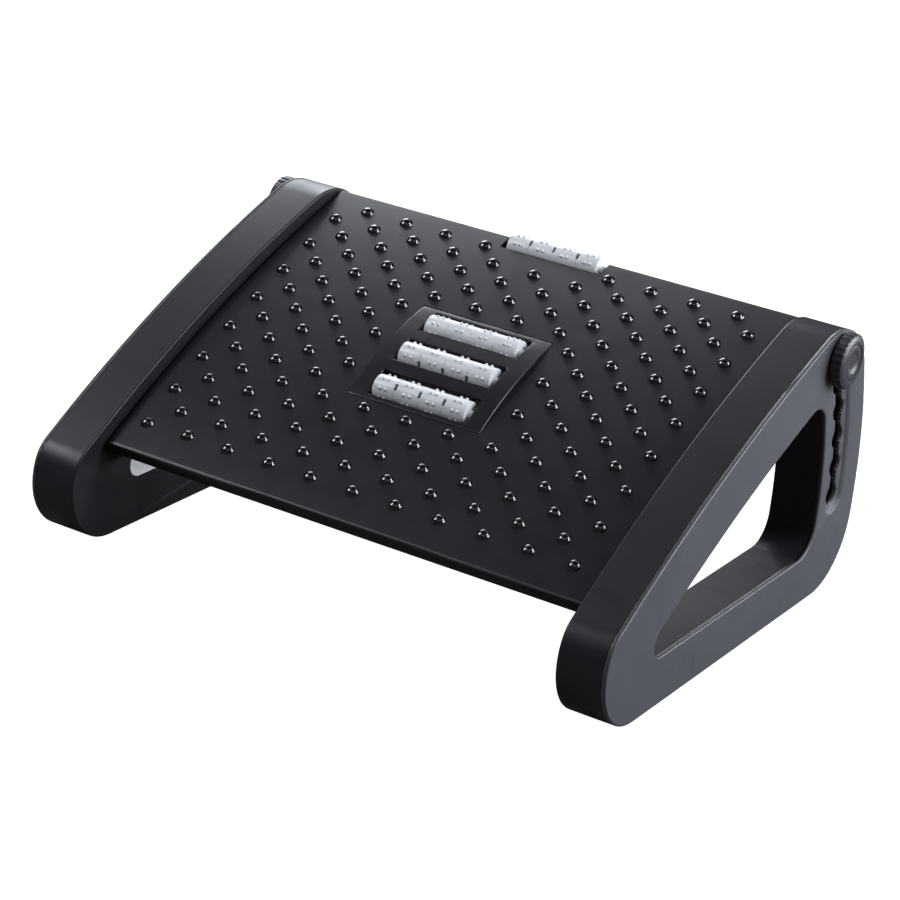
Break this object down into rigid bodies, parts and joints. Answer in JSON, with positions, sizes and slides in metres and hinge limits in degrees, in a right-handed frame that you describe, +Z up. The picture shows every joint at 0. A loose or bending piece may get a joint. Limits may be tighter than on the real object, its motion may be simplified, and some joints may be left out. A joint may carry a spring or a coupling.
{
  "type": "tilting footrest",
  "caption": "Under-desk footrest: hollow side frames carry a crowned, studded deck with massage rollers that tilts on front pins and locks by knobs in notched arc slots.",
  "frame": {"origin": "on the floor, at the bottom centre of the overall box", "axes": "+X to the sitter's right, +Y away from the sitter towards the raised edge, +Z up; the sitter is at -Y"},
  "size_m": [0.448, 0.3352, 0.192],
  "materials": {
    "frame_plastic": "fine satin, as moulded",
    "cover_plastic": "fine satin, as moulded",
    "deck_plastic": "semi-gloss, studs polished",
    "panel_plastic": "semi-gloss",
    "knob_plastic": "satin",
    "collar_plastic": "satin",
    "roller_plastic": "semi-gloss light grey",
    "nylon": "natural nylon",
    "foot_rubber": "matte",
    "pin_steel": "turned",
    "screw_steel": "zinc plated"
  },
  "bodies": {
    "side_frames": {"left_frame_shell": "frame_plastic", "left_frame_cover": "cover_plastic", "left_cover_screws": "screw_steel", "left_rubber_feet": "foot_rubber", "left_pivot_bush": "nylon", "right_frame_shell": "frame_plastic", "right_frame_cover": "cover_plastic", "right_cover_screws": "screw_steel", "right_rubber_feet": "foot_rubber", "right_pivot_bush": "nylon"},
    "tilting_deck": {"deck": "deck_plastic", "roller_panel": "panel_plastic", "roller_cradle": "panel_plastic", "cradle_screws": "screw_steel", "front_roller_axle": "pin_steel", "middle_roller_axle": "pin_steel", "back_roller_axle": "pin_steel", "edge_roller_axle": "pin_steel", "left_pivot_pin": "pin_steel", "left_pivot_washer": "nylon", "left_side_washer": "nylon", "left_clamp_nut": "screw_steel", "right_pivot_pin": "pin_steel", "right_pivot_washer": "nylon", "right_side_washer": "nylon", "right_clamp_nut": "screw_steel"},
    "front_roller_body": {"front_roller": "roller_plastic"},
    "middle_roller_body": {"middle_roller": "roller_plastic"},
    "back_roller_body": {"back_roller": "roller_plastic"},
    "edge_roller_body": {"edge_roller": "roller_plastic"},
    "left_collar_body": {"left_locking_collar": "collar_plastic"},
    "left_knob_body": {"left_clamp_knob": "knob_plastic", "left_clamp_bolt": "screw_steel", "left_knob_cap": "knob_plastic"},
    "right_collar_body": {"right_locking_collar": "collar_plastic"},
    "right_knob_body": {"right_clamp_knob": "knob_plastic", "right_clamp_bolt": "screw_steel", "right_knob_cap": "knob_plastic"}
  },
  "joints": [
    {"name": "deck_tilt", "type": "hinge", "parent": "side_frames", "child": "tilting_deck", "pos_m": [0, -0.1148, 0.0645], "axis": [-1, 0, 0], "range_deg": [0, 24.5]},
    {"name": "front_roller_spin", "type": "hinge", "parent": "tilting_deck", "child": "front_roller_body", "pos_m": [0, -0.03857, 0.12137], "axis": [1, 0, 0], "continuous": true},
    {"name": "middle_roller_spin", "type": "hinge", "parent": "tilting_deck", "child": "middle_roller_body", "pos_m": [0, -0.01078, 0.13634], "axis": [1, 0, 0], "continuous": true},
    {"name": "back_roller_spin", "type": "hinge", "parent": "tilting_deck", "child": "back_roller_body", "pos_m": [0, 0.01876, 0.1475], "axis": [1, 0, 0], "continuous": true},
    {"name": "edge_roller_spin", "type": "hinge", "parent": "tilting_deck", "child": "edge_roller_body", "pos_m": [0, 0.11678, 0.18186], "axis": [1, 0, 0], "continuous": true},
    {"name": "left_collar_slide", "type": "slide", "parent": "tilting_deck", "child": "left_collar_body", "axis": [1, 0, 0], "range_m": [-0.0025, 0.001]},
    {"name": "left_knob_turn", "type": "hinge", "parent": "left_collar_body", "child": "left_knob_body", "pos_m": [-0.22, 0.10832, 0.17092], "axis": [1, 0, 0], "range_deg": [-720.1, 288.1]},
    {"name": "right_collar_slide", "type": "slide", "parent": "tilting_deck", "child": "right_collar_body", "axis": [-1, 0, 0], "range_m": [-0.0025, 0.001]},
    {"name": "right_knob_turn", "type": "hinge", "parent": "right_collar_body", "child": "right_knob_body", "pos_m": [0.22, 0.10832, 0.17092], "axis": [-1, 0, 0], "range_deg": [-720.1, 288.1]}
  ],
  "couplings": [
    {"joint": "left_knob_turn", "follows": "left_collar_slide", "rad_per_m": 5026.5},
    {"joint": "right_knob_turn", "follows": "right_collar_slide", "rad_per_m": 5026.5}
  ]
}
